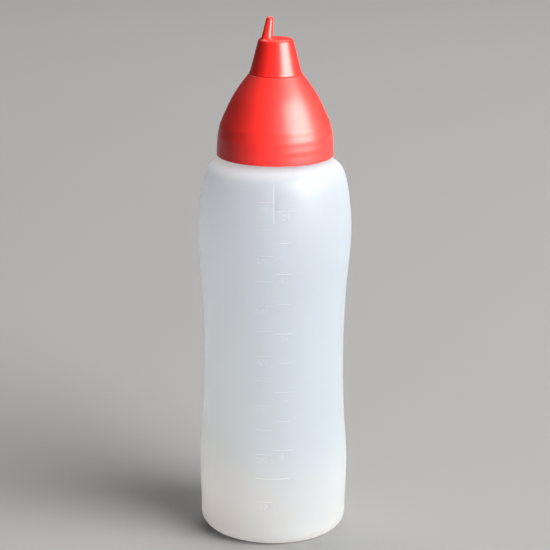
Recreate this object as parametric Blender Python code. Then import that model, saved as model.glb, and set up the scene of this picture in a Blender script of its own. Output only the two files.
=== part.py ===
"""Squeeze bottle for sauces, with a screw-on dome lid and a small tip cap.

Three separate pieces stand on one axis: the hollow bottle with its threaded
neck, the lid that ends in a spout, and the cap that shuts the spout.
Metres, +Z up. The origin is the middle of the standing ring, and the side
that carries the measuring scale looks along -Y.
"""

from math import atan2, cos, hypot, pi, radians, sin

import bmesh
import bpy

MM = 0.001

# Facets round the axis
SIDES = 48
CAP_SIDES = 32
THREAD_STEPS = 32

# Bottle: base
PUNT_RADIUS = 25.0 * MM
PUNT_RISE = 3.0 * MM
HEEL_RADIUS = 7.9 * MM
HEEL_EDGE = 37.25 * MM
HEEL_CENTRE = HEEL_EDGE - HEEL_RADIUS

# Bottle: side wall, as (height, radius), from the heel to the neck's foot
WALL_STATIONS = tuple((height * MM, radius * MM) for height, radius in (
    (7.9, 37.25),
    (20.0, 37.60),
    (33.0, 37.95),
    (46.0, 37.50),
    (60.0, 36.45),
    (76.0, 35.75),
    (94.0, 35.50),
    (117.0, 36.15),
    (136.0, 37.35),
    (147.0, 38.35),
    (157.0, 38.80),
    (170.0, 38.15),
    (181.0, 36.65),
    (188.6, 34.65),
    (190.9, 33.20),
    (193.7, 29.70),
    (197.0, 25.80),
))
GRIP_LEVELS = 19
SHOULDER_START = 186.0 * MM
SHOULDER_LEVELS = 6
BOTTLE_WALL = 1.2 * MM

# Bottle: neck
NECK_RADIUS = 25.2 * MM
NECK_FOOT = 198.2 * MM
LIP_HEIGHT = 213.0 * MM
LIP_ROUNDING = 0.5 * MM

# Screw thread, one right-handed start on the neck and one inside the lid
THREAD_PITCH = 5.0 * MM
THREAD_DEPTH = 1.1 * MM
THREAD_ROOT_WIDTH = 2.2 * MM
THREAD_CREST_WIDTH = 0.8 * MM
THREAD_TURNS = 1.75
THREAD_RUN_OUT = 4
THREAD_BED = 0.5 * MM
NECK_THREAD_START = 200.2 * MM
LID_THREAD_START = 199.7 * MM

# Lid: outside, as (height, radius), from the rim to the ledge under the cap
LID_STATIONS = tuple((height * MM, radius * MM) for height, radius in (
    (196.5, 29.40),
    (200.5, 29.25),
    (204.5, 29.05),
    (208.0, 28.60),
    (212.5, 27.55),
    (218.4, 25.05),
    (226.2, 21.25),
    (232.0, 17.45),
    (237.5, 13.35),
))
LID_LEVELS = 14
LID_WALL = 1.6 * MM
COLLAR_RADIUS = 27.0 * MM
COLLAR_TOP = 205.5 * MM
RIM_ROUNDING = 0.4 * MM
LEDGE_HEIGHT = LID_STATIONS[-1][0]

# Lid: spout
SPOUT_FOOT_RADIUS = 9.6 * MM
SPOUT_TIP_RADIUS = 3.4 * MM
SPOUT_HEIGHT = 251.5 * MM
SPOUT_WALL = 1.8 * MM
SPOUT_BORE = 1.6 * MM

# Tip cap: a hollow cone with a pull tab on its roof
CAP_SEAT = 0.3 * MM
CAP_BOTTOM = LEDGE_HEIGHT + CAP_SEAT
CAP_BOTTOM_RADIUS = 13.05 * MM
CAP_TOP = 255.1 * MM
CAP_TOP_RADIUS = 8.55 * MM
CAP_EDGE_ROUNDING = 1.1 * MM
CAP_WALL = 1.5 * MM
CAP_LIP_ROUNDING = 0.25 * MM

# Tip cap: the tab, a tapered post with a flared foot and a round head
TAB_PLACE = (-4.0 * MM, 1.7 * MM)
TAB_LEAN = (1.05 * MM, -0.25 * MM)
TAB_TURN = radians(-22.0)
TAB_WIDTH = 5.0 * MM
TAB_DEPTH = 5.0 * MM
TAB_HEAD_WIDTH = 3.1 * MM
TAB_HEAD_DEPTH = 4.3 * MM
TAB_TOP = 265.9 * MM
TAB_FLARE = 0.9 * MM
TAB_SINK = 0.8 * MM
TAB_POINTS = 16
TAB_SQUARENESS = 3.2
TAB_HEAD_LEVELS = 4

# Colours, roughness
MILKY_PLASTIC = ((0.72, 0.75, 0.78, 1.0), 0.42)
RED_SATIN = ((0.80, 0.045, 0.035, 1.0), 0.38)
RED_GLOSS = ((0.80, 0.045, 0.035, 1.0), 0.22)


def clear_scene():
    """Take away whatever the start-up file holds."""
    for item in list(bpy.data.objects):
        bpy.data.objects.remove(item, do_unlink=True)


def plastic(name, finish):
    """Return a Principled plastic of one colour and roughness."""
    colour, roughness = finish
    material = bpy.data.materials.new(name)
    material.use_nodes = True
    material.diffuse_color = colour
    shader = material.node_tree.nodes["Principled BSDF"]
    shader.inputs["Base Color"].default_value = colour
    shader.inputs["Roughness"].default_value = roughness
    shader.inputs["Metallic"].default_value = 0.0
    return material


# --- Outlines: lists of (radius, height) -----------------------------------

def spaced(first, last, count):
    """Return count values from first to last, evenly spaced."""
    return [first + (last - first) * index / (count - 1) for index in range(count)]


def arc(centre, radius, start, end, steps):
    """Return points on an arc round centre, angles counted from +radius."""
    points = []
    for angle in spaced(start, end, steps + 1):
        points.append((centre[0] + radius * cos(angle), centre[1] + radius * sin(angle)))
    return points


def radius_at(stations, height):
    """Read a smooth curve through (height, radius) stations at one height."""
    last = len(stations) - 1
    slopes = []
    for index in range(last + 1):
        low = stations[max(index - 1, 0)]
        high = stations[min(index + 1, last)]
        slopes.append((high[1] - low[1]) / (high[0] - low[0]))
    slopes[0] = 0.0
    span = 0
    while span < last - 1 and height > stations[span + 1][0]:
        span += 1
    (low_height, low_radius), (high_height, high_radius) = stations[span:span + 2]
    width = high_height - low_height
    t = (height - low_height) / width
    return (
        (2 * t ** 3 - 3 * t ** 2 + 1) * low_radius
        + (t ** 3 - 2 * t ** 2 + t) * width * slopes[span]
        + (3 * t ** 2 - 2 * t ** 3) * high_radius
        + (t ** 3 - t ** 2) * width * slopes[span + 1]
    )


def curve_points(stations, heights):
    """Return outline points of a stationed curve at the given heights."""
    return [(radius_at(stations, height), height) for height in heights]


def offset(outline, distance):
    """Shift an outline to its left, seen along its own direction."""
    last = len(outline) - 1
    shifted = []
    for index, (radius, height) in enumerate(outline):
        before = outline[max(index - 1, 0)]
        after = outline[min(index + 1, last)]
        along = (after[0] - before[0], after[1] - before[1])
        length = hypot(*along)
        shifted.append((
            max(radius - along[1] / length * distance, 0.0),
            height + along[0] / length * distance,
        ))
    return shifted


# --- Meshes ----------------------------------------------------------------

def finished(name, mesh_data, material):
    """Turn a bmesh into a smooth-shaded object with its faces out."""
    bmesh.ops.recalc_face_normals(mesh_data, faces=mesh_data.faces)
    mesh = bpy.data.meshes.new(name)
    mesh_data.to_mesh(mesh)
    mesh_data.free()
    mesh.shade_smooth()
    mesh.set_sharp_from_angle(angle=radians(35))
    mesh.materials.append(material)
    item = bpy.data.objects.new(name, mesh)
    bpy.context.scene.collection.objects.link(item)
    return item


def turned(name, outline, sides, material, closed=False):
    """Spin an outline round the Z axis; a closed outline makes a ring."""
    shape = bmesh.new()
    points = [shape.verts.new((radius, 0.0, height)) for radius, height in outline]
    edges = [shape.edges.new(pair) for pair in zip(points, points[1:])]
    if closed:
        edges.append(shape.edges.new((points[-1], points[0])))
    bmesh.ops.spin(
        shape,
        geom=points + edges,
        cent=(0.0, 0.0, 0.0),
        axis=(0.0, 0.0, 1.0),
        angle=2 * pi,
        steps=sides,
        use_merge=True,
    )
    bmesh.ops.remove_doubles(shape, verts=shape.verts, dist=0.001 * MM)
    return finished(name, shape, material)


def lofted(name, sections, material):
    """Skin a stack of sections with equal point counts and close its ends."""
    shape = bmesh.new()
    rings = [[shape.verts.new(point) for point in section] for section in sections]
    count = len(rings[0])
    for lower, upper in zip(rings, rings[1:]):
        for index in range(count):
            follow = (index + 1) % count
            shape.faces.new((lower[index], lower[follow], upper[follow], upper[index]))
    shape.faces.new(rings[0])
    shape.faces.new(rings[-1])
    return finished(name, shape, material)


def fused(body, addition):
    """Join a second shape to a body and keep the second as a hidden guide."""
    joint = body.modifiers.new("join_" + addition.name, "BOOLEAN")
    joint.operation = "UNION"
    joint.solver = "EXACT"
    joint.object = addition
    addition.hide_render = True
    addition.display_type = "WIRE"


def thread_ridge(name, wall_radius, outward, start, turn_offset, material):
    """Make one thread ridge that starts and ends by sinking into its wall.

    outward is +1 for a ridge round a neck and -1 for one inside a lid.
    """
    steps = round(THREAD_TURNS * THREAD_STEPS)
    bed = wall_radius - outward * THREAD_BED
    sections = []
    for step in range(steps + 1):
        angle = 2 * pi * (step / THREAD_STEPS + turn_offset)
        run = min(step, steps - step, THREAD_RUN_OUT) / THREAD_RUN_OUT
        crest = wall_radius + outward * THREAD_DEPTH * (0.12 + 0.88 * run)
        middle = start + THREAD_PITCH * step / THREAD_STEPS
        corners = (
            (bed, middle - THREAD_ROOT_WIDTH / 2),
            (crest, middle - THREAD_CREST_WIDTH / 2),
            (crest, middle + THREAD_CREST_WIDTH / 2),
            (bed, middle + THREAD_ROOT_WIDTH / 2),
        )
        sections.append([(r * cos(angle), r * sin(angle), h) for r, h in corners])
    return lofted(name, sections, material)


# --- The three pieces ------------------------------------------------------

def bottle_outline():
    """Return the bottle's outside, from the middle of its base to the lip."""
    punt = []
    for radius in spaced(0.0, PUNT_RADIUS, 5):
        rise = PUNT_RISE * (1 + cos(pi * radius / PUNT_RADIUS)) / 2
        punt.append((radius, rise))
    heel = arc((HEEL_CENTRE, HEEL_RADIUS), HEEL_RADIUS, -pi / 2, 0.0, 5)
    grip = spaced(HEEL_RADIUS, SHOULDER_START, GRIP_LEVELS)[1:]
    shoulder = spaced(SHOULDER_START, WALL_STATIONS[-1][0], SHOULDER_LEVELS)[1:]
    wall = curve_points(WALL_STATIONS, grip + shoulder)
    neck = [(NECK_RADIUS, NECK_FOOT), (NECK_RADIUS, LIP_HEIGHT - LIP_ROUNDING)]
    return punt + heel + wall + neck


def make_bottle(material):
    """Make the hollow bottle: one wall all round, with a thread on its neck."""
    outside = bottle_outline()
    inside = offset(outside, BOTTLE_WALL)
    lip = [
        (NECK_RADIUS - LIP_ROUNDING, LIP_HEIGHT),
        (NECK_RADIUS - BOTTLE_WALL + LIP_ROUNDING / 2, LIP_HEIGHT),
    ]
    inside[0] = (0.0, PUNT_RISE + BOTTLE_WALL)
    bottle = turned("bottle", outside + lip + inside[::-1], SIDES, material)
    fused(bottle, thread_ridge(
        "neck_thread", NECK_RADIUS, 1, NECK_THREAD_START, 0.0, material))


def lid_inside():
    """Return the lid's inside, from the rim up to the spout's bore."""
    heights = spaced(LID_STATIONS[0][0], LEDGE_HEIGHT, LID_LEVELS)
    dome = offset(curve_points(LID_STATIONS, heights), LID_WALL)
    above = [point for point in dome if point[1] > COLLAR_TOP and point[0] < COLLAR_RADIUS]
    collar = [(COLLAR_RADIUS, LID_STATIONS[0][0]), (COLLAR_RADIUS, COLLAR_TOP)]
    return collar + above[:-1]


def make_lid(material):
    """Make the dome lid with its spout, and the thread inside its collar."""
    heights = spaced(LID_STATIONS[0][0] + RIM_ROUNDING, LEDGE_HEIGHT, LID_LEVELS)
    rim_radius = LID_STATIONS[0][1]
    rim = [(rim_radius - RIM_ROUNDING, LID_STATIONS[0][0])]
    dome = curve_points(LID_STATIONS, heights)
    lean = atan2(SPOUT_FOOT_RADIUS - SPOUT_TIP_RADIUS, SPOUT_HEIGHT - LEDGE_HEIGHT)
    bore_foot = SPOUT_FOOT_RADIUS - SPOUT_WALL / cos(lean)
    spout = [
        (SPOUT_FOOT_RADIUS, LEDGE_HEIGHT),
        (SPOUT_TIP_RADIUS, SPOUT_HEIGHT - LIP_ROUNDING),
        (SPOUT_TIP_RADIUS - LIP_ROUNDING, SPOUT_HEIGHT),
        (SPOUT_BORE, SPOUT_HEIGHT),
        (SPOUT_BORE, SPOUT_HEIGHT - SPOUT_WALL),
        (bore_foot, LEDGE_HEIGHT),
    ]
    outline = rim + dome + spout + lid_inside()[::-1]
    lid = turned("lid", outline, SIDES, material, closed=True)
    fused(lid, thread_ridge(
        "lid_thread", COLLAR_RADIUS, -1, LID_THREAD_START, 0.5, material))


def tab_section(place, width, depth, height):
    """Return a round-cornered rectangle of points at one height."""
    points = []
    for index in range(TAB_POINTS):
        angle = 2 * pi * index / TAB_POINTS
        reach = (abs(cos(angle)) ** TAB_SQUARENESS
                 + abs(sin(angle)) ** TAB_SQUARENESS) ** (-1 / TAB_SQUARENESS)
        across = width / 2 * reach * cos(angle)
        along = depth / 2 * reach * sin(angle)
        points.append((
            place[0] + across * cos(TAB_TURN) - along * sin(TAB_TURN),
            place[1] + across * sin(TAB_TURN) + along * cos(TAB_TURN),
            height,
        ))
    return points


def tab_sections():
    """Return the tab's sections: flared foot, tapered post, round head."""
    head_radius = TAB_HEAD_WIDTH / 2
    post_top = TAB_TOP - head_radius
    sections = []
    levels = [
        (CAP_TOP - TAB_SINK, TAB_FLARE),
        (CAP_TOP, TAB_FLARE),
        (CAP_TOP + TAB_FLARE * 0.3, TAB_FLARE * 0.3),
        (CAP_TOP + TAB_FLARE, 0.0),
        (post_top, 0.0),
    ]
    for height, flare in levels:
        share = min(max((height - CAP_TOP) / (post_top - CAP_TOP), 0.0), 1.0)
        place = (TAB_PLACE[0] + TAB_LEAN[0] * share, TAB_PLACE[1] + TAB_LEAN[1] * share)
        width = TAB_WIDTH + (TAB_HEAD_WIDTH - TAB_WIDTH) * share + flare
        depth = TAB_DEPTH + (TAB_HEAD_DEPTH - TAB_DEPTH) * share + flare
        sections.append(tab_section(place, width, depth, height))
    place = (TAB_PLACE[0] + TAB_LEAN[0], TAB_PLACE[1] + TAB_LEAN[1])
    for level in range(1, TAB_HEAD_LEVELS + 1):
        angle = pi / 2 * level / (TAB_HEAD_LEVELS + 0.35)
        inset = 2 * head_radius * (1 - cos(angle))
        height = post_top + head_radius * sin(angle)
        if level == TAB_HEAD_LEVELS:
            height = TAB_TOP
        sections.append(tab_section(
            place, TAB_HEAD_WIDTH - inset, TAB_HEAD_DEPTH - inset, height))
    return sections


def make_tip_cap(material):
    """Make the hollow cone that covers the spout, with the tab on its roof."""
    lean = atan2(CAP_BOTTOM_RADIUS - CAP_TOP_RADIUS, CAP_TOP - CAP_BOTTOM)
    corner = CAP_EDGE_ROUNDING
    corner_radius = CAP_TOP_RADIUS - corner * (1 - sin(lean)) / cos(lean)
    edge = arc((corner_radius, CAP_TOP - corner), corner, pi / 2, lean, 4)
    roof_inside = CAP_TOP - CAP_WALL
    inset = CAP_WALL / cos(lean)
    slope = (CAP_BOTTOM_RADIUS - CAP_TOP_RADIUS) / (CAP_TOP - CAP_BOTTOM)
    outline = [(0.0, CAP_TOP)] + edge + [
        (CAP_BOTTOM_RADIUS - slope * CAP_LIP_ROUNDING, CAP_BOTTOM + CAP_LIP_ROUNDING),
        (CAP_BOTTOM_RADIUS - CAP_LIP_ROUNDING, CAP_BOTTOM),
        (CAP_BOTTOM_RADIUS - inset, CAP_BOTTOM),
        (CAP_TOP_RADIUS - inset + slope * CAP_WALL, roof_inside),
        (0.0, roof_inside),
    ]
    cap = turned("tip_cap", outline, CAP_SIDES, material)
    fused(cap, lofted("pull_tab", tab_sections(), material))


def main():
    """Build the whole bottle."""
    clear_scene()
    make_bottle(plastic("milky_plastic", MILKY_PLASTIC))
    make_lid(plastic("red_satin_plastic", RED_SATIN))
    make_tip_cap(plastic("red_gloss_plastic", RED_GLOSS))


main()
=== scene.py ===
"""Looks of a sauce squeeze bottle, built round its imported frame.

A waisted milky body carries a moulded measuring scale; a red dome lid is
screwed on it and a small red cap with a pull tab shuts the lid's spout.
Metres, +Z up, the scale looks along -Y. Every piece rides on the one body.
"""

from __future__ import annotations

import logging
from collections.abc import Callable
from dataclasses import dataclass, replace
from enum import Enum
from math import atan2, ceil, cos, pi, radians, sin

import bmesh
import bpy
import numpy as np
from bpy.types import ID, Material, Mesh, Node, NodeSocket, NodeTree, Object
from mathutils import Euler, Matrix, Vector


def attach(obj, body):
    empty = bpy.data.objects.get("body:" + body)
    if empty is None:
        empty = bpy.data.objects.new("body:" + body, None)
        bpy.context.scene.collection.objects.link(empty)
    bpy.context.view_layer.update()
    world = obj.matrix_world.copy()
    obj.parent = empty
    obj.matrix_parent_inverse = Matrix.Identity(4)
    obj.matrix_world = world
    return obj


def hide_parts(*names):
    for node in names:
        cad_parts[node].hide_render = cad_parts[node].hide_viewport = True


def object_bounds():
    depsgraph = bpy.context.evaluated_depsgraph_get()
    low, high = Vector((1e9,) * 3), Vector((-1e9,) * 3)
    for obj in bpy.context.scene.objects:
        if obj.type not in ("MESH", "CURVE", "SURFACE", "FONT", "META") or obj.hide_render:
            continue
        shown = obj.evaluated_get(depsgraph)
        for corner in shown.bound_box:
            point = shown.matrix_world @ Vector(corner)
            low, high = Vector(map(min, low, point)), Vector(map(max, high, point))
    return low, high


MM = 0.001
SAME_POINT = 0.0005 * MM
CRISP_EDGE = radians(40.0)
TINY = 1e-12
LOG = logging.getLogger("squeeze_bottle")
WHITE = (1.0, 1.0, 1.0)
OPAQUE = (1.0,)
Pair = tuple[float, float]
Triple = tuple[float, float, float]
Outline = list[Pair]
Inputs = dict[str | int, object]

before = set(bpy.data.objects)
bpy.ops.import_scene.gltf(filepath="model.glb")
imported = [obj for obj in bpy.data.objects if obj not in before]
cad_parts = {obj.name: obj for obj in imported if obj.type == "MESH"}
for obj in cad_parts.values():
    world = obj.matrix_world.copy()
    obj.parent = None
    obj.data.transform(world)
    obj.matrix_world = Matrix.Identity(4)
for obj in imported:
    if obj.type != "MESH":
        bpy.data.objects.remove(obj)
cad_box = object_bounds()


class Slot(Enum):
    """Material slots of the record."""

    BOTTLE = "bottle_plastic"
    LID = "lid_plastic"
    TIP_CAP = "tip_cap_plastic"


class Side(Enum):
    """Side of the scale's spine that a row of marks stands on."""

    LEFT = -1
    RIGHT = 1


# --- Lines and skins -------------------------------------------------------

@dataclass(frozen=True)
class SmoothCurve:
    """A line with an even bend through (height, radius) stations."""

    stations: tuple[Pair, ...]

    def radius(self, heights: np.ndarray) -> np.ndarray:
        """Read the curve.

        Args:
            heights: Heights within the stations' range.

        Returns:
            The radius at each height, from a cubic spline that starts upright.
        """
        knots, values = np.array(self.stations).T
        widths = np.diff(knots)
        rises = np.diff(values) / widths
        count = len(knots)
        system = np.zeros((count, count))
        right = np.zeros(count)
        system[0, 0], system[0, 1] = 2 * widths[0], widths[0]
        right[0] = 6 * rises[0]
        for row in range(1, count - 1):
            system[row, row - 1] = widths[row - 1]
            system[row, row] = 2 * (widths[row - 1] + widths[row])
            system[row, row + 1] = widths[row]
            right[row] = 6 * (rises[row] - rises[row - 1])
        system[-1, -1] = 1.0
        bends = np.linalg.solve(system, right)
        heights = np.asarray(heights, float)
        span = np.clip(np.searchsorted(knots, heights) - 1, 0, count - 2)
        width = widths[span]
        low, high = heights - knots[span], knots[span + 1] - heights
        return (
            (bends[span] * high ** 3 + bends[span + 1] * low ** 3) / (6 * width)
            + (values[span] / width - bends[span] * width / 6) * high
            + (values[span + 1] / width - bends[span + 1] * width / 6) * low
        )

    def points(self, heights: np.ndarray) -> Outline:
        """Return outline points at the given heights."""
        return list(zip(self.radius(heights).tolist(), np.asarray(heights).tolist()))


def arc(centre: Pair, radius: float, start: float, end: float, steps: int) -> Outline:
    """Make points on an arc in the outline plane.

    Args:
        centre: Radius and height of the arc's centre.
        radius: Radius of the arc itself.
        start: First angle, counted from the outward direction.
        end: Last angle.
        steps: Number of chords.

    Returns:
        steps + 1 outline points.
    """
    angles = np.linspace(start, end, steps + 1)
    return [(centre[0] + radius * cos(a), centre[1] + radius * sin(a)) for a in angles]


def normals_of(outline: np.ndarray, closed: bool) -> np.ndarray:
    """Find which way an outline faces.

    Args:
        outline: (radius, height) points in a row each.
        closed: Whether the last point is followed by the first.

    Returns:
        The unit normal at each point, to the right of its way.
    """
    if closed:
        along = np.roll(outline, -1, axis=0) - np.roll(outline, 1, axis=0)
    else:
        along = np.gradient(outline, axis=0)
    length = np.maximum(np.hypot(*along.T), TINY)[:, None]
    return np.stack([along[:, 1], -along[:, 0]], axis=1) / length


def offset(outline: Outline, distance: float) -> Outline:
    """Shift an outline to its left.

    Args:
        outline: The points of an open outline.
        distance: How far, such as the thickness of a wall.

    Returns:
        As many points, none of them past the axis.
    """
    points = np.array(outline)
    moved = points - normals_of(points, closed=False) * distance
    moved[:, 0] = np.maximum(moved[:, 0], 0.0)
    return [tuple(point) for point in moved.tolist()]


def even_angles(count: int) -> np.ndarray:
    """Return evenly spaced angles of one full turn."""
    return np.linspace(0.0, 2 * pi, count, endpoint=False)


def linked(name: str, data: ID) -> Object:
    """Make an object of some data and put it in the scene."""
    item = bpy.data.objects.new(name, data)
    bpy.context.scene.collection.objects.link(item)
    return item


def smoothed(mesh: Mesh) -> Mesh:
    """Shade a mesh smooth, apart from its crisp edges, and return it."""
    mesh.shade_smooth()
    mesh.set_sharp_from_angle(angle=CRISP_EDGE)
    return mesh


def stored(shape: bmesh.types.BMesh, mesh: Mesh) -> Mesh:
    """Write a shape into a mesh, free the shape and return the mesh."""
    shape.to_mesh(mesh)
    shape.free()
    return mesh


@dataclass(frozen=True)
class SkinGrid:
    """The points of a turned skin, a row for each point of its outline."""

    turn: np.ndarray
    radius: np.ndarray
    height: np.ndarray
    outer: np.ndarray


Relief = Callable[[SkinGrid], np.ndarray]


def turned_skin(
    name: str,
    outside: Outline,
    inside: Outline,
    angles: np.ndarray,
    relief: Relief | None = None,
    closed: bool = False,
) -> Object:
    """Turn an outline round the Z axis, with relief along its normals.

    Args:
        name: Name of the object and its mesh.
        outside: (radius, height) points of the outline's outer stretch.
        inside: The points that follow them.
        angles: Angles of the columns, rising, within one turn.
        relief: Gives the outward shift of each point.
        closed: Whether the outline is a loop that never meets the axis. An
            open one starts and ends on it.

    Returns:
        An object at the origin with one closed mesh.
    """
    points = np.array(outside + inside)
    rows, columns = len(points), len(angles)
    turn, row = np.meshgrid(angles, np.arange(rows))
    radius, height = points[row].transpose(2, 0, 1)
    if relief:
        shift = relief(SkinGrid(turn, radius, height, row < len(outside)))
        outward, upward = normals_of(points, closed)[row].transpose(2, 0, 1)
        radius = np.where(radius > 0.0, radius + outward * shift, 0.0)
        height = height + upward * shift
    places = np.stack([radius * np.cos(turn), radius * np.sin(turn), height], axis=-1)
    low = np.arange(rows if closed else rows - 1)[:, None] * columns
    high = (low + columns) % (rows * columns)
    column = np.arange(columns)
    follow = (column + 1) % columns
    faces = np.stack([low + column, low + follow, high + follow, high + column], axis=-1)
    mesh = bpy.data.meshes.new(name)
    mesh.from_pydata(places.reshape(-1, 3).tolist(), [], faces.reshape(-1, 4).tolist())
    shape = bmesh.new()
    shape.from_mesh(mesh)
    bmesh.ops.remove_doubles(shape, verts=shape.verts, dist=SAME_POINT)
    if shape.calc_volume(signed=True) < 0:
        bmesh.ops.reverse_faces(shape, faces=shape.faces)
    return linked(name, smoothed(stored(shape, mesh)))


def lofted_skin(name: str, sections: list[list[Triple]]) -> Object:
    """Skin a stack of sections and close its ends.

    Args:
        name: Name of the object and its mesh.
        sections: Sections with equal point counts, in order.

    Returns:
        An object at the origin with one closed mesh.
    """
    shape = bmesh.new()
    rings = [[shape.verts.new(point) for point in section] for section in sections]
    count = len(rings[0])
    for lower, upper in zip(rings, rings[1:]):
        for index in range(count):
            follow = (index + 1) % count
            shape.faces.new((lower[index], lower[follow], upper[follow], upper[index]))
    shape.faces.new(rings[0][::-1])
    shape.faces.new(rings[-1])
    bmesh.ops.recalc_face_normals(shape, faces=shape.faces)
    return linked(name, smoothed(stored(shape, bpy.data.meshes.new(name))))


def sewn(mesh: Mesh) -> Mesh:
    """Merge a mesh's doubles and turn its faces outwards.

    Args:
        mesh: The mesh.

    Returns:
        The same mesh.
    """
    shape = bmesh.new()
    shape.from_mesh(mesh)
    bmesh.ops.remove_doubles(shape, verts=shape.verts, dist=SAME_POINT)
    bmesh.ops.recalc_face_normals(shape, faces=shape.faces)
    return stored(shape, mesh)


def dressed(item: Object, finish: Material) -> Object:
    """Give a piece one finish all over.

    Args:
        item: The piece.
        finish: Its only material.

    Returns:
        The same piece.
    """
    item.data.materials.clear()
    item.data.materials.append(finish)
    item.data.polygons.foreach_set("material_index", [0] * len(item.data.polygons))
    return item


def evaluated(item: Object) -> Mesh:
    """Return a new mesh of an object as its modifiers or its text make it."""
    graph = bpy.context.evaluated_depsgraph_get()
    return bpy.data.meshes.new_from_object(item.evaluated_get(graph))


def applied(item: Object) -> Object:
    """Bake an object's modifiers into its mesh and drop them.

    Args:
        item: A mesh object.

    Returns:
        The same object.
    """
    old, mesh = item.data, evaluated(item)
    item.modifiers.clear()
    item.data = mesh
    mesh.name = item.name
    bpy.data.meshes.remove(old)
    return item


def discard(item: Object) -> None:
    """Delete an object together with its mesh."""
    spare = item.data
    bpy.data.objects.remove(item)
    bpy.data.meshes.remove(spare)


def fused(body: Object, addition: Object) -> Object:
    """Join a second closed shape to a body.

    Args:
        body: The shape that stays.
        addition: The shape that goes into it and is deleted.

    Returns:
        The body, one closed mesh.
    """
    joint = body.modifiers.new("join", "BOOLEAN")
    joint.operation = "UNION"
    joint.solver = "EXACT"
    joint.object = addition
    applied(body)
    discard(addition)
    smoothed(sewn(body.data))
    return body


def joined(name: str, parts: list[Object]) -> Object:
    """Merge several mesh objects into one.

    Args:
        name: Name of the new object.
        parts: The objects, which are deleted.

    Returns:
        The new object.
    """
    shape = bmesh.new()
    for part in parts:
        shape.from_mesh(part.data)
        discard(part)
    return linked(name, smoothed(stored(shape, bpy.data.meshes.new(name))))


@dataclass(frozen=True)
class ScrewThread:
    """One right-handed thread ridge, as relief on a neck or in a collar."""

    start: float
    phase: float
    pitch: float = 5.0 * MM
    depth: float = 1.1 * MM
    root_width: float = 2.2 * MM
    crest_width: float = 0.8 * MM
    turns: float = 1.75
    run_out: float = 0.12

    def relief(self, grid: SkinGrid) -> np.ndarray:
        """Work out how far the ridge stands out.

        Args:
            grid: The points of the wall that it is on.

        Returns:
            The ridge's height over its wall at each point.
        """
        ridge = np.zeros_like(grid.height)
        for lap in range(ceil(self.turns)):
            share = ((grid.turn / (2 * pi) - self.phase) % 1.0) + lap
            away = np.abs(grid.height - self.start - self.pitch * share)
            flank = (self.root_width / 2 - away) / ((self.root_width - self.crest_width) / 2)
            fade = np.clip(np.minimum(share, self.turns - share) / self.run_out, 0.0, 1.0)
            ridge = np.maximum(ridge, np.clip(flank, 0.0, 1.0) * fade)
        return ridge * self.depth


# --- Finishes --------------------------------------------------------------

class NodeBuilder:
    """Short-hand for filling a node tree."""

    def __init__(self, tree: NodeTree) -> None:
        """Keep the tree that nodes are added to."""
        self.tree = tree

    def feed(self, node: Node, inputs: Inputs) -> None:
        """Fill a node's inputs.

        Args:
            node: The node.
            inputs: For each input's name, a socket to link or a value to set.
        """
        for name, value in inputs.items():
            if isinstance(value, NodeSocket):
                self.tree.links.new(value, node.inputs[name])
            else:
                node.inputs[name].default_value = value

    def node(self, kind: str, inputs: Inputs | None = None, **settings: object) -> Node:
        """Add a node.

        Args:
            kind: Blender's name of its type.
            inputs: What feeds its inputs.
            **settings: Its plain properties, set before the inputs are.

        Returns:
            The new node.
        """
        made = self.tree.nodes.new(kind)
        for name, value in settings.items():
            setattr(made, name, value)
        self.feed(made, inputs or {})
        return made

    def first(self, kind: str, inputs: Inputs | None = None, **settings: object) -> NodeSocket:
        """Add a node and return its first output."""
        return self.node(kind, inputs, **settings).outputs[0]

    def math(self, operation: str, first: object, second: object) -> NodeSocket:
        """Add a Math node on sockets or numbers and return its value."""
        return self.first("ShaderNodeMath", {0: first, 1: second}, operation=operation)

    def vector(self, x: object = 0.0, y: object = 0.0, z: object = 0.0) -> NodeSocket:
        """Make a vector of three sockets or numbers."""
        return self.first("ShaderNodeCombineXYZ", {"X": x, "Y": y, "Z": z})

    def noise(self, place: NodeSocket, **inputs: object) -> NodeSocket:
        """Add a noise pattern at a place and return its value."""
        named = {name.capitalize(): value for name, value in inputs.items()}
        return self.first("ShaderNodeTexNoise", {"Vector": place, **named})

    def spread(self, value: NodeSocket, low: float, high: float) -> NodeSocket:
        """Stretch a 0 to 1 value to run from low to high."""
        return self.first("ShaderNodeMapRange", {"Value": value, "To Min": low, "To Max": high})

    def mixed(self, share: NodeSocket, first: Triple, second: Triple) -> NodeSocket:
        """Blend two opaque colours by a share and return the colour."""
        inputs = {"Factor": share, "A": first + OPAQUE, "B": second + OPAQUE}
        return self.node("ShaderNodeMix", inputs, data_type="RGBA").outputs["Result"]


GRAIN_SIZE = 0.5 * MM
FLOW_SIZE = 22.0 * MM
FLOW_STRETCH = (1.0, 1.0, 0.35)
TONE_SCALE = 14.0


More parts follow.
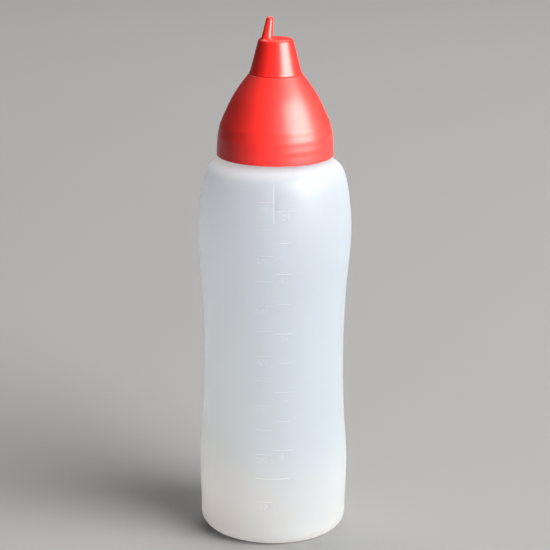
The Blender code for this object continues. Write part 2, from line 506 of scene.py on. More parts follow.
def moulded_skin_group() -> NodeTree:
    """Build the shared effect of moulded plastic: grain, flow marks, tone.

    Returns:
        A node group with the inputs Vector, Grain Size and Flow Size, and the
        outputs Grain, Flow and Tone, each about 0 to 1 over the surface.
    """
    group = bpy.data.node_groups.new("moulded_skin", "ShaderNodeTree")
    face = group.interface
    face.new_socket("Vector", in_out="INPUT", socket_type="NodeSocketVector")
    for name, size in (("Grain Size", GRAIN_SIZE), ("Flow Size", FLOW_SIZE)):
        socket = face.new_socket(name, in_out="INPUT", socket_type="NodeSocketFloat")
        socket.default_value = size
    for name in ("Grain", "Flow", "Tone"):
        face.new_socket(name, in_out="OUTPUT", socket_type="NodeSocketFloat")
    build = NodeBuilder(group)
    given = build.node("NodeGroupInput").outputs
    place = given["Vector"]
    drawn = build.first("ShaderNodeMapping", {"Vector": place, "Scale": FLOW_STRETCH})
    fine = build.math("DIVIDE", 1.0, given["Grain Size"])
    broad = build.math("DIVIDE", 1.0, given["Flow Size"])
    build.node("NodeGroupOutput", {
        "Grain": build.noise(place, scale=fine, detail=2.0),
        "Flow": build.noise(drawn, scale=broad, detail=1.0, roughness=0.45),
        "Tone": build.noise(place, scale=TONE_SCALE, detail=1.0),
    })
    return group


@dataclass(frozen=True)
class Plastic:
    """A moulded plastic: two close colours, a gloss and a fine grain."""

    name: str
    light: Triple
    dark: Triple
    roughness: Pair
    grain_size: float
    grain_depth: float
    flow_depth: float
    flow_size: float = FLOW_SIZE
    subsurface: float = 0.0
    subsurface_radius: Triple = (1.0, 1.0, 1.0)
    subsurface_scale: float = 1.0 * MM
    ior: float = 1.5
    shine: float = 0.5
    coat: float = 0.0
    coat_roughness: float = 0.2

    def material(self, skin: NodeTree) -> Material:
        """Build the node material.

        Args:
            skin: The shared moulded-skin group.

        Returns:
            A material with one Principled shader.
        """
        made = bpy.data.materials.new(self.name)
        made.use_nodes = True
        build = NodeBuilder(made.node_tree)
        effect = build.node("ShaderNodeGroup", {
            "Vector": build.node("ShaderNodeTexCoord").outputs["Object"],
            "Grain Size": self.grain_size,
            "Flow Size": self.flow_size,
        }, node_tree=skin).outputs
        flow = build.first("ShaderNodeBump", {
            "Distance": self.flow_depth,
            "Height": effect["Flow"],
        })
        grain = build.first("ShaderNodeBump", {
            "Distance": self.grain_depth,
            "Height": effect["Grain"],
            "Normal": flow,
        })
        build.feed(made.node_tree.nodes["Principled BSDF"], {
            "Base Color": build.mixed(effect["Tone"], self.dark, self.light),
            "Roughness": build.spread(effect["Flow"], *self.roughness),
            "Normal": grain,
            "IOR": self.ior,
            "Subsurface Weight": self.subsurface,
            "Subsurface Radius": self.subsurface_radius,
            "Subsurface Scale": self.subsurface_scale,
            "Specular IOR Level": self.shine,
            "Coat Weight": self.coat,
            "Coat Roughness": self.coat_roughness,
        })
        return made


@dataclass(frozen=True)
class MilkyPlastic(Plastic):
    """Translucent natural plastic whose through colour changes with height, partly as painted light.

    Each band is a height and the colour there; the tone runs evenly between.
    The bluish middle bands are the plastic's own tint. The lighter, warmer heel
    is painted floor bounce, the bright ring where the shoulder faces up is
    painted light, and the pinkish, darker neck under the lid is painted shade
    with a painted red reflection of the lid.
    Mirror is the share that the surface mirrors, straight on and edge on.
    """

    tint_and_painted_light_bands: tuple[tuple[float, Triple], ...] = ()
    through: float = 0.86
    gloss: Pair = (0.31, 0.37)
    mirror: Pair = (0.016, 0.5)
    mirror_rise: float = 5.0

    def material(self, skin: NodeTree) -> Material:
        """Build the moulded plastic and let light through its wall.

        Args:
            skin: The shared moulded-skin group.

        Returns:
            A material that mixes the moulded surface with a translucent one
            under a thin gloss.
        """
        made = super().material(skin)
        build = NodeBuilder(made.node_tree)
        nodes = made.node_tree.nodes
        shader = nodes["Principled BSDF"]
        normal = shader.inputs["Normal"].links[0].from_socket
        flow = next(node for node in nodes if node.type == "GROUP").outputs["Flow"]
        wall = build.first("ShaderNodeMixShader", {
            "Fac": self.through,
            1: shader.outputs["BSDF"],
            2: build.first("ShaderNodeBsdfTranslucent", {"Color": self.tinted_with_painted_light(build)}),
        })
        sheen = build.first("ShaderNodeBsdfAnisotropic", {
            "Color": WHITE + OPAQUE,
            "Roughness": build.spread(flow, *self.gloss),
            "Normal": normal,
        })
        slant = build.node("ShaderNodeLayerWeight", {"Blend": 0.5, "Normal": normal})
        rim = build.math("POWER", slant.outputs["Facing"], self.mirror_rise)
        surface = {"Fac": build.spread(rim, *self.mirror), 1: wall, 2: sheen}
        build.feed(nodes["Material Output"], {
            "Surface": build.first("ShaderNodeMixShader", surface),
        })
        return made

    def tinted_with_painted_light(self, build: NodeBuilder) -> NodeSocket:
        """Colour the light that comes through by its height.

        This is the plastic's tint, with painted floor bounce at the heel, painted
        light on the shoulder, and painted shade and red reflection under the lid.

        Args:
            build: The material's tree.

        Returns:
            The colour at each place.
        """
        place = build.node("ShaderNodeTexCoord").outputs["Object"]
        level = build.node("ShaderNodeSeparateXYZ", {"Vector": place}).outputs["Z"]
        top, last = self.tint_and_painted_light_bands[-1]
        ramp = build.node("ShaderNodeValToRGB", {"Fac": build.math("DIVIDE", level, top)})
        ramp.color_ramp.interpolation = "EASE"
        stops = ramp.color_ramp.elements
        stops[0].color = self.tint_and_painted_light_bands[0][1] + OPAQUE
        stops[1].color = last + OPAQUE
        for height, tone in self.tint_and_painted_light_bands[1:-1]:
            stops.new(height / top).color = tone + OPAQUE
        return ramp.outputs["Color"]


MILKY = MilkyPlastic(
    name="milky_polyethylene",
    light=(0.71, 0.84, 0.97),
    dark=(0.68, 0.81, 0.945),
    roughness=(0.45, 0.55),
    grain_size=0.45 * MM,
    grain_depth=0.004 * MM,
    flow_depth=0.08 * MM,
    subsurface=1.0,
    subsurface_radius=(1.6, 1.15, 0.8),
    subsurface_scale=8.0 * MM,
    shine=0.0,
    # through colour by height: the plastic's tint plus painted light, as marked below
    tint_and_painted_light_bands=(
        # lighter and warmer at the heel: painted floor bounce
        (0.0 * MM, (0.942, 0.915, 0.893)),
        (15.0 * MM, (0.930, 0.902, 0.882)),
        # bluish middle: the plastic's own tint
        (60.0 * MM, (0.816, 0.829, 0.835)),
        (176.0 * MM, (0.811, 0.825, 0.846)),
        (188.5 * MM, (0.80, 0.815, 0.835)),
        # bright ring where the shoulder faces up: painted light
        (192.5 * MM, (0.925, 0.908, 0.908)),
        # pinkish and darker under the lid's rim: painted shade with a painted red reflection of the
        # lid
        (196.0 * MM, (0.86, 0.79, 0.79)),
        (210.0 * MM, (0.86, 0.79, 0.79)),
    ),
)
RED_SATIN = Plastic(
    name="red_satin_plastic",
    light=(0.84, 0.027, 0.022),
    dark=(0.78, 0.022, 0.018),
    roughness=(0.44, 0.50),
    grain_size=0.35 * MM,
    grain_depth=0.005 * MM,
    flow_depth=0.12 * MM,
    subsurface=0.2,
    subsurface_radius=(1.0, 0.12, 0.08),
    subsurface_scale=1.2 * MM,
    shine=0.47,
    coat=0.38,
    coat_roughness=0.25,
)
RED_GLOSS = replace(
    RED_SATIN,
    name="red_gloss_plastic",
    light=(0.84, 0.021, 0.016),
    dark=(0.80, 0.018, 0.014),
    roughness=(0.36, 0.42),
    grain_size=0.5 * MM,
    grain_depth=0.002 * MM,
    flow_depth=0.05 * MM,
    shine=0.35,
    coat=0.42,
    coat_roughness=0.17,
)


# --- The bottle ------------------------------------------------------------

@dataclass
class Body:
    """The hollow blow-moulded body with its neck.

    The parting columns are degrees away from a parting line. Each wave of the
    wall is its share of the waviness, the bumps that it has round the body,
    its twist per metre of height and its phase.
    """

    wall_stations: tuple[Pair, ...] = tuple((height * MM, radius * MM) for height, radius in (
        (7.9, 37.25), (20.0, 37.60), (33.0, 37.95), (46.0, 37.50), (60.0, 36.45), (76.0, 35.75),
        (94.0, 35.50), (117.0, 36.15), (136.0, 37.35), (147.0, 38.35), (157.0, 38.80),
        (170.0, 38.15), (181.0, 36.65), (188.6, 34.65), (190.9, 33.20), (193.7, 29.70),
        (197.0, 25.80),
    ))
    shoulder: float = 188.6 * MM
    punt_radius: float = 25.0 * MM
    punt_rise: float = 3.0 * MM
    heel_radius: float = 7.9 * MM
    heel_edge: float = 37.25 * MM
    wall: float = 1.2 * MM
    neck_radius: float = 25.2 * MM
    neck_foot: float = 198.2 * MM
    lip_height: float = 213.0 * MM
    lip_rounding: float = 0.5 * MM
    lip_steps: tuple[int, int] = (4, 3)
    neck_rings: int = 56
    ring_spacing: float = 1.5 * MM
    inner_neck_rings: int = 6
    inner_spacing: float = 3.0 * MM
    columns: int = 168
    parting_columns: tuple[float, ...] = (-0.9, -0.6, -0.4, -0.2, 0.2, 0.4, 0.6, 0.9)
    parting_height: float = 0.06 * MM
    parting_width: float = 0.25 * MM
    pinch_height: float = 0.5 * MM
    pinch_width: float = 0.5 * MM
    pinch_reach: float = 19.0 * MM
    pinch_fade: float = 4.0 * MM
    waviness: float = 0.035 * MM
    waves: tuple[tuple[float, int, float, float], ...] = ((1.0, 3, 40.0, 0.0), (0.7, 5, -65.0, 1.3))
    wave_fade: float = 10.0 * MM
    thread: ScrewThread = ScrewThread(start=200.2 * MM, phase=0.0)

    @property
    def side(self) -> SmoothCurve:
        """Return the side wall's line."""
        return SmoothCurve(self.wall_stations)

    def skin(self, spacing: float, neck_rings: int) -> Outline:
        """Draw the outside line.

        Args:
            spacing: Distance between the rings of the wall.
            neck_rings: Number of rings on the neck.

        Returns:
            Points from the base's middle to the lip.
        """
        radii = np.linspace(0.0, self.punt_radius, round(self.punt_radius / spacing) + 1)
        rises = self.punt_rise * (1 + np.cos(pi * radii / self.punt_radius)) / 2
        centre = (self.heel_edge - self.heel_radius, self.heel_radius)
        heel_steps = round(self.heel_radius * pi / spacing)
        heel = arc(centre, self.heel_radius, -pi / 2, 0.0, heel_steps)
        first, last = self.wall_stations[0][0], self.wall_stations[-1][0]
        count = round((last - first) / spacing)
        wall = self.side.points(np.linspace(first, last, count)[1:])
        top = self.lip_height - self.lip_rounding
        neck_heights = np.linspace(self.neck_foot, top, neck_rings)
        neck = [(self.neck_radius, height) for height in neck_heights]
        return list(zip(radii.tolist(), rises.tolist())) + heel + wall + neck

    def column_angles(self) -> np.ndarray:
        """Return the columns' angles, closer together at the parting lines."""
        near = np.radians(self.parting_columns)
        return np.sort(np.concatenate([even_angles(self.columns), near % (2 * pi), near + pi]))

    def relief(self, grid: SkinGrid) -> np.ndarray:
        """Add the parting line, pinch-off, slow waves and the neck's thread.

        Args:
            grid: The body's points.

        Returns:
            How far each point moves out.
        """
        height, outer = grid.height, grid.outer
        across = grid.radius * np.abs(np.sin(grid.turn))
        line = np.exp(-(across / self.parting_width) ** 2) * self.parting_height
        pinch = np.exp(-(across / self.pinch_width) ** 2) * self.pinch_height
        pinch *= np.clip((self.pinch_reach - grid.radius) / self.pinch_fade, 0.0, 1.0)
        waves = sum(
            share * (np.sin(bumps * grid.turn + twist * height + phase) - 1.0)
            for share, bumps, twist, phase in self.waves
        )
        waves *= np.clip((height - self.heel_radius) / self.wave_fade, 0.0, 1.0)
        waves *= np.clip((self.shoulder - height) / self.wave_fade, 0.0, 1.0)
        base = height <= self.heel_radius / 2
        neck = height >= self.neck_foot
        shift = np.where(outer & ~base & ~neck, line, 0.0) + waves * self.waviness
        shift += np.where(outer & base, pinch, 0.0)
        return shift + np.where(outer & neck, self.thread.relief(grid), 0.0)

    def build(self, finish: Material) -> Object:
        """Make the body's skin.

        Args:
            finish: The plastic that it is made of.

        Returns:
            Outside, lip and inside as one closed shell.
        """
        outside = self.skin(self.ring_spacing, self.neck_rings)
        inside = offset(self.skin(self.inner_spacing, self.inner_neck_rings), self.wall)
        inside[0] = (0.0, self.punt_rise + self.wall)
        top, edge, mouth = self.lip_height, self.lip_rounding, self.neck_radius - self.wall
        outer, inner = self.lip_steps
        lip = arc((self.neck_radius - edge, top - edge), edge, 0.0, pi / 2, outer)[1:]
        lip += arc((mouth + edge / 2, top - edge / 2), edge / 2, pi / 2, pi, inner)
        within = lip + inside[::-1]
        skin = turned_skin("body_shell", outside, within, self.column_angles(), self.relief)
        return dressed(skin, finish)


@dataclass(frozen=True)
class MarkRow:
    """One row of the measuring scale: its ticks and the numbers on them.

    Each depth is a height and the share of the scale's relief that the marks
    have there: the mould's marks are worn at the waist.
    """

    side: Side
    first: float
    pitch: float
    count: int
    bow: float
    minor: Pair
    major: Pair
    labels: tuple[tuple[int, str], ...]
    label_left: float
    label_drop: float
    depths: tuple[Pair, ...]

    def height(self, index: int) -> float:
        """Return the height of one tick."""
        return self.first + self.pitch * index + self.bow * index * (index - self.count + 1)

    def depth(self, heights: np.ndarray) -> np.ndarray:
        """Return the share of the relief at each height."""
        places, shares = np.array(self.depths).T
        return np.interp(heights, places, shares)


@dataclass
class MeasuringScale:
    """The moulded scale on the front: spine, two rows of ticks, numbers."""

    body: Body
    relief: float = 0.22 * MM
    line_width: float = 0.5 * MM
    bar_sides: int = 12
    bar_rings: int = 24
    tick_rings: int = 15
    bed: float = 0.12 * MM
    digit_height: float = 2.9 * MM
    digit_share: float = 0.8
    font_height: float = 0.72
    font_spacing: float = 1.08
    spine: Pair = (170.2 * MM, 189.5 * MM)
    spine_left: float = -0.6 * MM
    bridge: Pair = (-1.2 * MM, 3.0 * MM)
    bridge_height: float = 37.25 * MM
    rows: tuple[MarkRow, ...] = (
        MarkRow(
            side=Side.RIGHT,
            first=37.3 * MM,
            pitch=15.39 * MM,
            count=10,
            bow=0.065 * MM,
            minor=(2.3 * MM, 8.0 * MM),
            major=(0.4 * MM, 9.9 * MM),
            labels=((1, "8"), (3, "12"), (5, "16"), (7, "20"), (9, "24")),
            label_left=3.4 * MM,
            label_drop=4.4 * MM,
            depths=((53.0 * MM, 1.0), (68.0 * MM, 0.4), (161.0 * MM, 0.4), (172.0 * MM, 1.5)),
        ),
        MarkRow(
            side=Side.LEFT,
            first=24.65 * MM,
            pitch=12.954 * MM,
            count=13,
            bow=0.035 * MM,
            minor=(0.8 * MM, 8.8 * MM),
            major=(0.8 * MM, 8.8 * MM),
            labels=tuple((2 * step, str(100 * (step + 1))) for step in range(7)),
            label_left=-9.2 * MM,
            label_drop=4.2 * MM,
            depths=((25.0 * MM, 0.3), (37.0 * MM, 0.9), (51.0 * MM, 1.0), (72.0 * MM, 0.25),
                    (168.0 * MM, 0.25), (175.0 * MM, 1.0)),
        ),
    )

    def wrapped(self, item: Object, row: MarkRow | None = None) -> Object:
        """Lay a flat pattern (across, out, up) on the body's curved front.

        Args:
            item: The flat pattern.
            row: The row whose depths the raised side takes, if it is in one.

        Returns:
            The same object, wrapped.
        """
        flat = np.empty(len(item.data.vertices) * 3)
        item.data.vertices.foreach_get("co", flat)
        across, out, up = flat.reshape(-1, 3).T
        if row:
            out = np.where(out > 0.0, out * row.depth(up), out)
        wall = self.body.side.radius(up)
        turn, radius = across / wall, wall + out
        placed = np.stack([radius * np.sin(turn), -radius * np.cos(turn), up], axis=1)
        item.data.vertices.foreach_set("co", placed.ravel())
        sewn(item.data)
        return item

    def tick_tree(self) -> NodeTree:
        """Build the Geometry Nodes tree of a row of ticks.

        Returns:
            A tree whose named inputs are the row's sizes; each tick is a
            round-backed bar, every second one a major one.
        """
        tree = bpy.data.node_groups.new("scale_ticks", "GeometryNodeTree")
        sizes = ("First", "Pitch", "Bow", "Minor Start", "Minor Length",
                 "Major Start", "Major Length", "Width", "Relief")
        kinds = {
            "Geometry": "Geometry",
            "Count": "Int",
            **dict.fromkeys(sizes, "Float"),
            "Material": "Material",
        }
        for name, kind in kinds.items():
            tree.interface.new_socket(name, in_out="INPUT", socket_type=f"NodeSocket{kind}")
        tree.interface.new_socket("Geometry", in_out="OUTPUT", socket_type="NodeSocketGeometry")
        build = NodeBuilder(tree)
        given = build.node("NodeGroupInput").outputs
        index = build.first("GeometryNodeInputIndex")
        odd = build.math("MODULO", index, 2.0)
        start, length = (
            build.math("ADD", minor, build.math("MULTIPLY", odd, build.math("SUBTRACT", major, minor)))
            for minor, major in (
                (given["Minor Start"], given["Major Start"]),
                (given["Minor Length"], given["Major Length"]),
            )
        )
        last = build.math("SUBTRACT", given["Count"], 1.0)
        arch = build.math("MULTIPLY", index, build.math("SUBTRACT", index, last))
        rise = build.math("ADD", given["First"], build.math("MULTIPLY", given["Pitch"], index))
        height = build.math("ADD", rise, build.math("MULTIPLY", given["Bow"], arch))
        line = build.first("GeometryNodeMeshLine", {"Count": given["Count"]})
        spots = build.vector(x=start, z=height)
        placed = build.first("GeometryNodeSetPosition", {"Geometry": line, "Position": spots})
        path = build.first("GeometryNodeCurvePrimitiveLine", {"End": (1.0, 0.0, 0.0)})
        half = build.math("MULTIPLY", given["Width"], 0.5)
        bar = build.first("GeometryNodeCurveToMesh", {
            "Curve": build.first("GeometryNodeResampleCurve", {
                "Curve": path,
                "Count": self.tick_rings,
            }),
            "Profile Curve": build.first("GeometryNodeCurvePrimitiveCircle", {
                "Resolution": self.bar_sides,
                "Radius": half,
            }),
            "Fill Caps": True,
        })
        flat = build.vector(1.0, build.math("DIVIDE", given["Relief"], half), 1.0)
        copies = build.first("GeometryNodeInstanceOnPoints", {
            "Points": placed,
            "Instance": build.first("GeometryNodeTransform", {"Geometry": bar, "Scale": flat}),
            "Scale": build.vector(length, 1.0, 1.0),
        })
        real = build.first("GeometryNodeRealizeInstances", {"Geometry": copies})
        clad = {"Geometry": real, "Material": given["Material"]}
        build.node("NodeGroupOutput", {
            "Geometry": build.first("GeometryNodeSetMaterial", clad),
        })
        return tree

    def ticks(self, row: MarkRow, tree: NodeTree, material: Material) -> Object:
        """Make one row's ticks.

        Args:
            row: The row.
            tree: The tree from tick_tree.
            material: The body's plastic.

        Returns:
            The ticks as one mesh, wrapped on the body.
        """
        item = linked("ticks", bpy.data.meshes.new("ticks"))
        made = item.modifiers.new("ticks", "NODES")
        made.node_group = tree
        values = {
            "Count": row.count,
            "First": row.first,
            "Pitch": row.pitch,
            "Bow": row.bow,
            "Width": self.line_width,
            "Relief": self.relief,
            "Material": material,
        }
        for name, (start, end) in (("Minor", row.minor), ("Major", row.major)):
            values[f"{name} Start"] = row.side.value * start
            values[f"{name} Length"] = row.side.value * (end - start)
        for socket in tree.interface.items_tree:
            if socket.in_out == "INPUT" and socket.name in values:
                made[socket.identifier] = values[socket.name]
        return self.wrapped(applied(item), row)

    def digits(self, row: MarkRow, index: int, text: str) -> Object:
        """Make the raised digits that stand under one tick of a row.

        Args:
            row: The row.
            index: The tick's place in it, from 0 at the bottom.
            text: The number.

        Returns:
            The digits, wrapped on the body.
        """
        raised = self.relief * self.digit_share
        letters = bpy.data.curves.new("digits", "FONT")
        letters.body = text
        letters.size = self.digit_height / self.font_height
        letters.extrude = (raised + self.bed) / 2
        letters.space_character = self.font_spacing
        item = linked("digits", letters)
        mesh = evaluated(item)
        bpy.data.objects.remove(item)
        bpy.data.curves.remove(letters)
        left, middle = row.label_left, (raised - self.bed) / 2
        base = row.height(index) - row.label_drop
        mesh.transform(Matrix(((1, 0, 0, left), (0, 0, 1, middle), (0, 1, 0, base), (0, 0, 0, 1))))
        return self.wrapped(linked("digits", mesh), row)

    def bar(self, name: str, start: Pair, end: Pair) -> Object:
        """Make a round-backed line.

        Args:
            name: Name of the object.
            start: Its first (across, up) place.
            end: Its last one.

        Returns:
            The line, wrapped on the body.
        """
        run = Vector(end) - Vector(start)
        side = Vector((-run.y, run.x)).normalized() * self.line_width / 2
        sections = []
        for share in np.linspace(0.0, 1.0, self.bar_rings):
            middle = Vector(start) + run * share
            section = []
            for angle in even_angles(self.bar_sides):
                place = middle + side * cos(angle)
                section.append((place.x, self.relief * sin(angle), place.y))
            sections.append(section)
        return self.wrapped(lofted_skin(name, sections))

    def build(self, material: Material) -> Object:
        """Make the whole scale.

        Args:
            material: The body's plastic.

        Returns:
            One mesh on the body's front.
        """
        tree = self.tick_tree()
        low, high = self.spine
        left, right = self.bridge
        scale = self.bar("spine", (self.spine_left, low), (self.spine_left, high))
        bridge = self.bar("bridge", (left, self.bridge_height), (right, self.bridge_height))
        numbers = []
        for row in self.rows:
            scale = fused(scale, self.ticks(row, tree, material))
            numbers += [self.digits(row, index, text) for index, text in row.labels]
        scale = fused(scale, bridge)
        return dressed(joined("measuring_scale", [scale] + numbers), material)


# --- The lid ---------------------------------------------------------------

@dataclass
class DomeLid:
    """The screw-on dome with its collar thread and its spout.

    The ledge's steps are shares of its rounding, inwards and downwards.
    """

    stations: tuple[Pair, ...] = tuple((height * MM, radius * MM) for height, radius in (
        (196.5, 29.40), (200.5, 29.25), (204.5, 29.05), (208.0, 28.60), (212.5, 27.55),
        (218.4, 25.05), (226.2, 21.25), (232.0, 17.45), (237.5, 13.35),
    ))
    wall: float = 1.6 * MM
    collar_radius: float = 27.0 * MM
    collar_top: float = 205.5 * MM
    rim_rounding: float = 0.4 * MM
    rim_steps: int = 5
    ledge_rounding: float = 0.35 * MM
    ledge_steps: tuple[Pair, ...] = ((0.35, 0.45), (0.9, 0.1), (1.5, 0.0))
    spout_foot: float = 9.6 * MM
    spout_tip: float = 3.4 * MM
    spout_height: float = 251.5 * MM
    spout_wall: float = 1.8 * MM
    spout_bore: float = 1.6 * MM
    columns: int = 200
    ring_spacing: float = 0.4 * MM
    inner_rings: int = 60
    collar_rings: int = 40
    sink_depth: float = 0.045 * MM
    sink_pitch: float = 4.95 * MM
    sink_crest: float = 207.8 * MM
    sink_angle: float = radians(-63.0)
    sink_range: Pair = (199.0 * MM, 219.0 * MM)
    sink_fade: float = 3.0 * MM
    thread: ScrewThread = ScrewThread(start=199.7 * MM, phase=0.5)

    def outside(self) -> Outline:
        """Draw the outside.

        Returns:
            Points from the rim up over the dome to the spout's tip.
        """
        side = SmoothCurve(self.stations)
        bottom, top = self.stations[0][0], self.stations[-1][0]
        low, high = bottom + self.rim_rounding, top - self.ledge_rounding
        rim_middle = float(side.radius(np.array([low]))[0]) - self.rim_rounding
        rim = arc((rim_middle, low), self.rim_rounding, -pi / 2, 0.0, self.rim_steps)
        count = round((high - low) / self.ring_spacing)
        dome = side.points(np.linspace(low, high, count)[1:])
        ledge = [
            (dome[-1][0] - self.ledge_rounding * inward, top - self.ledge_rounding * down)
            for inward, down in self.ledge_steps
        ]
        spout = [
            (self.spout_foot, top),
            (self.spout_tip, self.spout_height - self.rim_rounding),
            (self.spout_tip - self.rim_rounding, self.spout_height),
        ]
        return rim + dome + ledge + spout

    def inside(self) -> Outline:
        """Draw the inside.

        Returns:
            Points from the spout's tip down to the rim. The shell's last two
            rings are left out, because the spout's bore starts there.
        """
        side = SmoothCurve(self.stations)
        bottom, top = self.stations[0][0], self.stations[-1][0]
        lean = atan2(self.spout_foot - self.spout_tip, self.spout_height - top)
        bore_foot = self.spout_foot - self.spout_wall / cos(lean)
        shell = offset(side.points(np.linspace(bottom, top, self.inner_rings)), self.wall)
        above = [
            point for point in shell
            if point[1] > self.collar_top and point[0] < self.collar_radius
        ]
        collar_heights = np.linspace(self.collar_top, bottom, self.collar_rings)
        return [
            (self.spout_bore, self.spout_height),
            (self.spout_bore, self.spout_height - self.spout_wall),
            (bore_foot, top),
        ] + above[:-2][::-1] + [(self.collar_radius, height) for height in collar_heights]

    def relief(self, grid: SkinGrid) -> np.ndarray:
        """Add sink rings outside, over the thread inside the collar.

        Args:
            grid: The lid's points.

        Returns:
            How far each point moves out of the wall.
        """
        height, (low, high) = grid.height, self.sink_range
        lap = ((grid.turn - self.sink_angle) / (2 * pi) + 0.5) % 1.0 - 0.5
        rings = np.cos(2 * pi * ((height - self.sink_crest) / self.sink_pitch - lap))
        rings *= np.clip((height - low) / self.sink_fade, 0.0, 1.0)
        rings *= np.clip((high - height) / self.sink_fade, 0.0, 1.0)
        thread = np.where(height <= self.collar_top, self.thread.relief(grid), 0.0)
        return np.where(grid.outer, rings * self.sink_depth, thread)

    def build(self, finish: Material) -> Object:
        """Make the lid's skin.

        Args:
            finish: The plastic that it is made of.

        Returns:
            One closed ring of an outline, turned.
        """
        angles = even_angles(self.columns)
        skin = turned_skin("dome_lid", self.outside(), self.inside(), angles, self.relief, closed=True)
        return dressed(skin, finish)


# --- The tip cap -----------------------------------------------------------

@dataclass
class TipCap:
    """The hollow cone over the spout, with the pull tab on its roof."""

    seat: float = 237.62 * MM
    seat_radius: float = 13.05 * MM
    roof: float = 255.1 * MM
    roof_radius: float = 8.55 * MM
    edge_rounding: float = 1.9 * MM
    lip_rounding: float = 0.25 * MM
    flare: float = 0.2 * MM
    flare_height: float = 2.4 * MM
    wall: float = 1.5 * MM
    columns: int = 160
    roof_rings: int = 8
    edge_steps: int = 12
    side_rings: int = 60
    hem_steps: int = 6
    tab_place: Pair = (-4.2 * MM, -1.5 * MM)
    tab_lean: Pair = (1.13 * MM, 2.2 * MM)
    tab_turn: float = radians(-18.0)
    tab_foot: Pair = (5.3 * MM, 5.6 * MM)
    tab_head: Pair = (3.6 * MM, 4.0 * MM)
    tab_top: float = 265.9 * MM
    tab_fillet: float = 1.5 * MM
    tab_sink: float = 0.6 * MM
    tab_points: int = 56
    tab_squareness: float = 2.4
    tab_shoulder: float = 0.75 * MM
    fillet_rings: int = 9
    post_rings: int = 14
    head_rings: int = 12
    head_closing: float = 0.97

    @property
    def lean(self) -> float:
        """Return how far the cone's side leans from upright."""
        return atan2(self.seat_radius - self.roof_radius, self.roof - self.seat)

    @property
    def flat_radius(self) -> float:
        """Return how far the roof's flat part reaches."""
        return self.roof_radius - self.edge_rounding * (1 - sin(self.lean)) / cos(self.lean)

    def build_cone(self) -> Object:
        """Make the hollow cone.

        Returns:
            The turned cone: roof, rounded edge, flared side, hem and hollow.
        """
        slope = (self.seat_radius - self.roof_radius) / (self.roof - self.seat)
        lean, corner, flat, lip = self.lean, self.edge_rounding, self.flat_radius, self.lip_rounding
        roof = [(radius, self.roof) for radius in np.linspace(0.0, flat, self.roof_rings)[:-1]]
        edge = arc((flat, self.roof - corner), corner, pi / 2, lean, self.edge_steps)
        foot_radius = self.seat_radius - slope * lip
        top = self.roof - corner * (1 - sin(lean))
        cone = []
        for height in np.linspace(top, self.seat + lip, self.side_rings):
            above = height - self.seat - lip
            spread = self.flare * max(1.0 - above / self.flare_height, 0.0) ** 2
            cone.append((foot_radius - slope * above + spread, height))
        hem = arc((cone[-1][0] - lip, self.seat + lip), lip, lean, -pi / 2, self.hem_steps)
        inset = self.wall / cos(lean)
        ceiling = self.roof - self.wall
        inner = [
            (self.seat_radius - inset, self.seat),
            (self.roof_radius - inset + slope * self.wall, ceiling),
            (0.0, ceiling),
        ]
        outside = roof + edge + cone[1:-1] + hem
        return turned_skin("cone_cap", outside, inner, even_angles(self.columns))

    def tab_section(self, share: float, grow: float, height: float) -> list[Triple]:
        """Draw one section of the tab.

        Args:
            share: How far up the post the section is, 0 to 1.
            grow: How far the section stands out from the post's own size.
            height: The section's height.

        Returns:
            Points round a round-cornered rectangle, kept on the roof.
        """
        half_width, half_depth = (
            (foot + (head - foot) * share) / 2 + grow
            for foot, head in zip(self.tab_foot, self.tab_head)
        )
        middle = Vector(self.tab_place) + Vector(self.tab_lean) * share
        risen = min(max((height - self.roof) / self.tab_fillet, 0.0), 1.0)
        limit = self.flat_radius + self.tab_shoulder * (1.0 - risen)
        power = self.tab_squareness
        section = []
        for angle in even_angles(self.tab_points):
            reach = (abs(cos(angle)) ** power + abs(sin(angle)) ** power) ** (-1 / power)
            place = Vector((half_width * reach * cos(angle), half_depth * reach * sin(angle)))
            point = middle + Matrix.Rotation(self.tab_turn, 2) @ place
            if point.length > limit:
                point *= limit / point.length
            section.append((point.x, point.y, height))
        return section

    def build_tab(self) -> Object:
        """Make the pull tab.

        Returns:
            Its filleted foot, tapered post and round head as one skin.
        """
        head = self.tab_head[0] / 2
        post_top = self.tab_top - head
        foot = self.roof + self.tab_fillet
        sections = [self.tab_section(0.0, self.tab_fillet, self.roof - self.tab_sink)]
        for angle in np.linspace(0.0, pi / 2, self.fillet_rings):
            grow = self.tab_fillet * (1 - sin(angle))
            height = self.roof + self.tab_fillet * (1 - cos(angle))
            sections.append(self.tab_section(0.0, grow, height))
        for share in np.linspace(0.0, 1.0, self.post_rings)[1:]:
            height = foot + (post_top - foot) * share
            sections.append(self.tab_section(share, 0.0, height))
        for angle in np.linspace(0.0, pi / 2, self.head_rings)[1:]:
            grow = -head * self.head_closing * (1 - cos(angle))
            sections.append(self.tab_section(1.0, grow, post_top + head * sin(angle)))
        return lofted_skin("pull_tab", sections)

    def build(self, finish: Material) -> Object:
        """Make the cap and its tab.

        Args:
            finish: The plastic that they are made of.

        Returns:
            One closed mesh.
        """
        cap = fused(self.build_cone(), self.build_tab())
        cap.name = "cap_with_tab"
        cap.data.name = cap.name
        return dressed(cap, finish)


# --- Stage -----------------------------------------------------------------

class Shade(Enum):
    """The outline of a studio light."""

    SQUARE = "RECTANGLE"
    ROUND = "ELLIPSE"


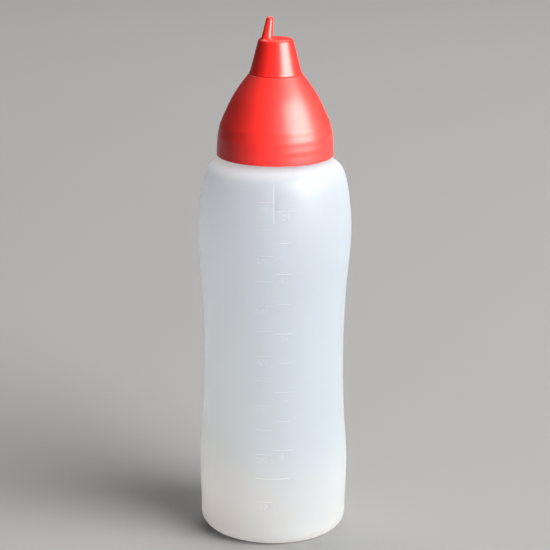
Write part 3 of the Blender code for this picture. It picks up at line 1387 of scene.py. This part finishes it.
@dataclass(frozen=True)
class SoftBox:
    """A soft studio light, placed round the bottle's middle."""

    name: str
    azimuth: float
    elevation: float
    distance: float
    size: Pair
    power: float
    colour: Triple = WHITE
    aim: Triple = (0.0, 0.0, 0.0)
    shade: Shade = Shade.SQUARE

    def place(self, target: Vector) -> None:
        """Put the light in its place; azimuth 0 is the camera's side.

        Args:
            target: The bottle's middle, from which aim is counted.
        """
        turn, rise = radians(self.azimuth), radians(self.elevation)
        away = Vector((sin(turn) * cos(rise), -cos(turn) * cos(rise), sin(rise)))
        away *= self.distance
        lamp = bpy.data.lights.new(self.name, "AREA")
        lamp.shape = self.shade.value
        lamp.size, lamp.size_y = self.size
        lamp.energy = self.power
        lamp.color = self.colour
        item = linked(self.name, lamp)
        item.location = target + away
        item.rotation_euler = (Vector(self.aim) - away).to_track_quat("-Z", "Y").to_euler()
        item.visible_camera = False


KEY_BOX = SoftBox(
    name="key_box",
    azimuth=57.0,
    elevation=26.5,
    distance=3.6,
    size=(3.76, 3.12),
    power=428.0,
    colour=(1.0, 0.975, 0.92),
)
KEY_CORE = replace(
    KEY_BOX,
    name="key_core",
    elevation=25.5,
    distance=3.56,
    size=(2.48, 2.32),
    power=120.0,
    shade=Shade.ROUND,
)
BACK_BOX = SoftBox(
    name="back_box",
    azimuth=180.0,
    elevation=52.0,
    distance=3.0,
    size=(3.2, 1.6),
    power=83.0,
    colour=(1.0, 0.955, 0.895),
    aim=(0.0, 1.5, -0.13),
)


@dataclass
class Studio:
    """Pale floor, soft boxes, a dim surround and the camera."""

    lens: float = 145.0
    sensor: float = 36.0
    camera_distance: float = 1088.1 * MM
    camera_height: float = 430.0 * MM
    camera_side: float = 0.3 * MM
    sight: Pair = (0.05, 50.0)
    pitch: float = 15.23
    roll: float = 0.35
    floor_size: float = 24.0
    floor_colour: Triple = (0.223, 0.226, 0.235)
    floor_drift: float = 1.03
    floor_scale: float = 3.0
    floor_roughness: float = 0.9
    surround: Triple = (0.85, 0.86, 0.88)
    surround_strength: float = 0.05
    lights: tuple[SoftBox, ...] = (KEY_BOX, KEY_CORE, BACK_BOX)

    def camera(self) -> None:
        """Create the camera and make it the scene's own."""
        data = bpy.data.cameras.new("view")
        data.lens = self.lens
        data.sensor_width = self.sensor
        data.clip_start, data.clip_end = self.sight
        item = linked("view", data)
        item.location = (self.camera_side, -self.camera_distance, self.camera_height)
        look = Euler((radians(90.0 - self.pitch), 0.0, 0.0)).to_matrix()
        item.rotation_euler = (look @ Matrix.Rotation(radians(self.roll), 3, "Z")).to_euler()
        bpy.context.scene.camera = item

    def floor_material(self) -> Material:
        """Build the floor's matt finish.

        Returns:
            A pale material that drifts slightly in tone.
        """
        made = bpy.data.materials.new("pale_floor")
        made.use_nodes = True
        build = NodeBuilder(made.node_tree)
        place = build.node("ShaderNodeTexCoord").outputs["Object"]
        drift = build.noise(place, scale=self.floor_scale)
        lighter = tuple(value * self.floor_drift for value in self.floor_colour)
        build.feed(made.node_tree.nodes["Principled BSDF"], {
            "Base Color": build.mixed(drift, self.floor_colour, lighter),
            "Roughness": self.floor_roughness,
            "Specular IOR Level": 0.0,
        })
        return made

    def floor(self) -> Object:
        """Make the floor.

        Returns:
            One large square.
        """
        half = self.floor_size / 2
        mesh = bpy.data.meshes.new("floor")
        corners = [(-half, -half, 0), (half, -half, 0), (half, half, 0), (-half, half, 0)]
        mesh.from_pydata(corners, [], [(0, 1, 2, 3)])
        mesh.materials.append(self.floor_material())
        return linked("floor", mesh)

    def world(self) -> None:
        """Give the room a dim even surround."""
        made = bpy.data.worlds.new("surround")
        made.use_nodes = True
        NodeBuilder(made.node_tree).feed(made.node_tree.nodes["Background"], {
            "Color": self.surround + OPAQUE,
            "Strength": self.surround_strength,
        })
        bpy.context.scene.world = made

    def build(self, target: Vector) -> None:
        """Set the whole stage.

        Args:
            target: The bottle's middle, which the lights stand round.
        """
        self.camera()
        self.world()
        for light in self.lights:
            light.place(target)
        self.floor()
        bpy.context.scene.view_settings.view_transform = "Standard"


# --- Assembly --------------------------------------------------------------

def install(item: Object, slot: Slot, node: str) -> None:
    """Tie a finished and dressed piece to the frame.

    Args:
        item: The piece, at the origin.
        slot: The record's slot that its finish belongs to.
        node: The CAD node that the piece stands for.
    """
    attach(item, "root")
    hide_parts(node)
    count = sum(len(face.vertices) - 2 for face in item.data.polygons)
    LOG.info("%s: %d triangles, slot %s", item.name, count, slot.value)


def main() -> None:
    """Build the studio and every piece in order."""
    logging.basicConfig(level=logging.INFO, format="%(name)s: %(message)s")
    low, high = cad_box
    Studio().build((Vector(low) + Vector(high)) / 2)
    skin = moulded_skin_group()
    milky = MILKY.material(skin)
    body = Body()
    scale = MeasuringScale(body).build(milky)
    install(dressed(fused(body.build(milky), scale), milky), Slot.BOTTLE, "bottle")
    install(DomeLid().build(RED_SATIN.material(skin)), Slot.LID, "lid")
    install(TipCap().build(RED_GLOSS.material(skin)), Slot.TIP_CAP, "tip_cap")


if __name__ == "__main__":
    main()
